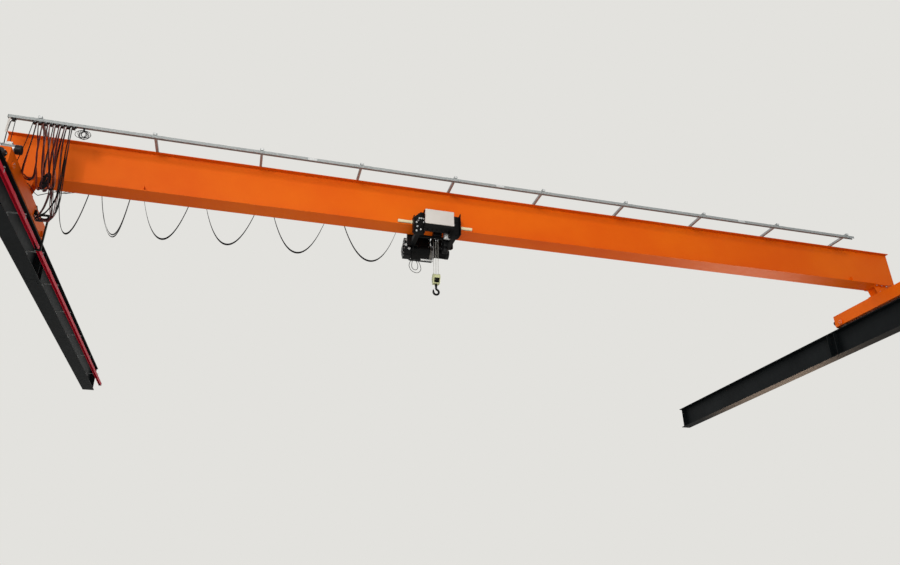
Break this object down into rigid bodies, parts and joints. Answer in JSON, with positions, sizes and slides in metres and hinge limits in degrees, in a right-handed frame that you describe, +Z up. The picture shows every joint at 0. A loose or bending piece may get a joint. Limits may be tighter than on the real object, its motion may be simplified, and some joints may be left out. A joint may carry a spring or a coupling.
{
  "type": "overhead bridge crane",
  "caption": "Single girder overhead travelling crane on two runway beams, with a low headroom rope hoist trolley, festoon cables and a swivelling hook.",
  "frame": {"origin": "on the underside of the left runway beam, below the rail centre, in line with the girder at rest", "axes": "+X along the girder to the right runway, +Y along the runway away from the control box side, +Z up"},
  "size_m": [20.44, 15, 2.459],
  "materials": {
    "runway_steel": "semi-gloss dark grey paint",
    "rail_steel": "bare rolled steel, worn bright on top",
    "conductor_red": "moulded red plastic",
    "galvanised": "hot dip galvanised",
    "girder_orange": "satin orange paint",
    "machinery_grey": "satin grey paint on castings",
    "frame_black": "satin black paint",
    "box_white": "off-white powder coat",
    "rubber_black": "matt cable sheath",
    "buffer_rubber": "moulded black rubber",
    "buffer_cream": "moulded cellular plastic",
    "rope_steel": "greased steel",
    "machined_steel": "machined steel",
    "panel_grey": "light grey powder coat",
    "block_lime": "pale yellow green paint",
    "carrier_plastic": "dark moulded plastic"
  },
  "bodies": {
    "runway": {"left_runway_beams": "runway_steel", "right_runway_beams": "runway_steel", "left_rail": "rail_steel", "right_rail": "rail_steel", "conductor_rail": "conductor_red", "conductor_rail_brackets": "galvanised"},
    "bridge": {"main_girder": "girder_orange", "left_end_carriage": "girder_orange", "right_end_carriage": "girder_orange", "girder_saddles": "girder_orange", "left_drive_unit": "machinery_grey", "right_drive_unit": "machinery_grey", "carriage_buffers": "buffer_rubber", "trolley_end_stops": "girder_orange", "near_festoon_track": "galvanised", "hoist_festoon_track": "galvanised", "festoon_arms": "galvanised", "parked_cable_carriers": "carrier_plastic", "parked_cables": "rubber_black", "bridge_control_panel": "panel_grey", "current_collector": "frame_black", "hoist_festoon_cable": "rubber_black"},
    "left_front_wheel": {"left_front_wheel": "machined_steel"},
    "left_rear_wheel": {"left_rear_wheel": "machined_steel"},
    "right_front_wheel": {"right_front_wheel": "machined_steel"},
    "right_rear_wheel": {"right_rear_wheel": "machined_steel"},
    "trolley": {"trolley_near_frame": "frame_black", "trolley_far_frame": "frame_black", "trolley_cross_beams": "frame_black", "control_box": "box_white", "trolley_drive_unit": "machinery_grey", "trolley_buffers": "buffer_cream", "drum_guard": "frame_black", "hoist_gearbox": "machinery_grey", "hoist_motor": "machinery_grey", "hoist_lead_cables": "rubber_black", "hoist_ropes": "rope_steel"},
    "near_left_trolley_wheel": {"near_left_trolley_wheel": "machined_steel"},
    "near_right_trolley_wheel": {"near_right_trolley_wheel": "machined_steel"},
    "far_left_trolley_wheel": {"far_left_trolley_wheel": "machined_steel"},
    "far_right_trolley_wheel": {"far_right_trolley_wheel": "machined_steel"},
    "drum": {"rope_drum": "machined_steel"},
    "hook_block": {"hook_block": "block_lime"},
    "hook": {"hook": "frame_black"},
    "carrier_1": {"cable_carrier_1": "carrier_plastic"},
    "carrier_2": {"cable_carrier_2": "carrier_plastic"},
    "carrier_3": {"cable_carrier_3": "carrier_plastic"},
    "carrier_4": {"cable_carrier_4": "carrier_plastic"},
    "carrier_5": {"cable_carrier_5": "carrier_plastic"}
  },
  "joints": [
    {"name": "bridge_travel", "type": "slide", "parent": "runway", "child": "bridge", "axis": [0, 1, 0], "range_m": [-4.1, 7.5]},
    {"name": "left_front_wheel_spin", "type": "hinge", "parent": "bridge", "child": "left_front_wheel", "pos_m": [0, -1.225, 0.8003], "axis": [1, 0, 0], "range_deg": [-4307, 2359]},
    {"name": "left_rear_wheel_spin", "type": "hinge", "parent": "bridge", "child": "left_rear_wheel", "pos_m": [0, 1.225, 0.8003], "axis": [1, 0, 0], "range_deg": [-4307, 2359]},
    {"name": "right_front_wheel_spin", "type": "hinge", "parent": "bridge", "child": "right_front_wheel", "pos_m": [19.5, -1.225, 0.8003], "axis": [1, 0, 0], "range_deg": [-4307, 2359]},
    {"name": "right_rear_wheel_spin", "type": "hinge", "parent": "bridge", "child": "right_rear_wheel", "pos_m": [19.5, 1.225, 0.8003], "axis": [1, 0, 0], "range_deg": [-4307, 2359]},
    {"name": "trolley_travel", "type": "slide", "parent": "bridge", "child": "trolley", "axis": [1, 0, 0], "range_m": [-5, 9.9], "deforming": ["hoist_festoon_cable"]},
    {"name": "near_left_trolley_wheel_spin", "type": "hinge", "parent": "trolley", "child": "near_left_trolley_wheel", "pos_m": [7.51, -0.2, 1.3243], "axis": [0, 1, 0], "range_deg": [-4417, 8737]},
    {"name": "near_right_trolley_wheel_spin", "type": "hinge", "parent": "trolley", "child": "near_right_trolley_wheel", "pos_m": [8.29, -0.2, 1.3243], "axis": [0, 1, 0], "range_deg": [-4417, 8737]},
    {"name": "far_left_trolley_wheel_spin", "type": "hinge", "parent": "trolley", "child": "far_left_trolley_wheel", "pos_m": [7.51, 0.2, 1.3243], "axis": [0, 1, 0], "range_deg": [-4417, 8737]},
    {"name": "far_right_trolley_wheel_spin", "type": "hinge", "parent": "trolley", "child": "far_right_trolley_wheel", "pos_m": [8.29, 0.2, 1.3243], "axis": [0, 1, 0], "range_deg": [-4417, 8737]},
    {"name": "hook_hoist", "type": "slide", "parent": "trolley", "child": "hook_block", "axis": [0, 0, 1], "range_m": [-7.5, 0.3], "deforming": ["hoist_ropes"]},
    {"name": "drum_spin", "type": "hinge", "parent": "trolley", "child": "drum", "pos_m": [7.9, 0.55, 1.04], "axis": [1, 0, 0], "continuous": true},
    {"name": "hook_swivel", "type": "hinge", "parent": "hook_block", "child": "hook", "pos_m": [7.96, 0, 0], "axis": [0, 0, 1], "continuous": true},
    {"name": "carrier_1_travel", "type": "slide", "parent": "bridge", "child": "carrier_1", "axis": [1, 0, 0], "range_m": [-0.6312, 1.2437]},
    {"name": "carrier_2_travel", "type": "slide", "parent": "bridge", "child": "carrier_2", "axis": [1, 0, 0], "range_m": [-1.2625, 2.4875]},
    {"name": "carrier_3_travel", "type": "slide", "parent": "bridge", "child": "carrier_3", "axis": [1, 0, 0], "range_m": [-2.222, 4.378]},
    {"name": "carrier_4_travel", "type": "slide", "parent": "bridge", "child": "carrier_4", "axis": [1, 0, 0], "range_m": [-3.2067, 6.3182]},
    {"name": "carrier_5_travel", "type": "slide", "parent": "bridge", "child": "carrier_5", "axis": [1, 0, 0], "range_m": [-4.1662, 8.2087]}
  ],
  "couplings": [
    {"joint": "left_front_wheel_spin", "follows": "bridge_travel", "rad_per_m": -10},
    {"joint": "left_rear_wheel_spin", "follows": "bridge_travel", "rad_per_m": -10},
    {"joint": "right_front_wheel_spin", "follows": "bridge_travel", "rad_per_m": -10},
    {"joint": "right_rear_wheel_spin", "follows": "bridge_travel", "rad_per_m": -10},
    {"joint": "near_left_trolley_wheel_spin", "follows": "trolley_travel", "rad_per_m": 15.385},
    {"joint": "near_right_trolley_wheel_spin", "follows": "trolley_travel", "rad_per_m": 15.385},
    {"joint": "far_left_trolley_wheel_spin", "follows": "trolley_travel", "rad_per_m": 15.385},
    {"joint": "far_right_trolley_wheel_spin", "follows": "trolley_travel", "rad_per_m": 15.385},
    {"joint": "drum_spin", "follows": "hook_hoist", "rad_per_m": 12.903},
    {"joint": "carrier_1_travel", "follows": "trolley_travel", "ratio": 0.125},
    {"joint": "carrier_2_travel", "follows": "trolley_travel", "ratio": 0.25},
    {"joint": "carrier_3_travel", "follows": "trolley_travel", "ratio": 0.44},
    {"joint": "carrier_4_travel", "follows": "trolley_travel", "ratio": 0.635},
    {"joint": "carrier_5_travel", "follows": "trolley_travel", "ratio": 0.825}
  ]
}
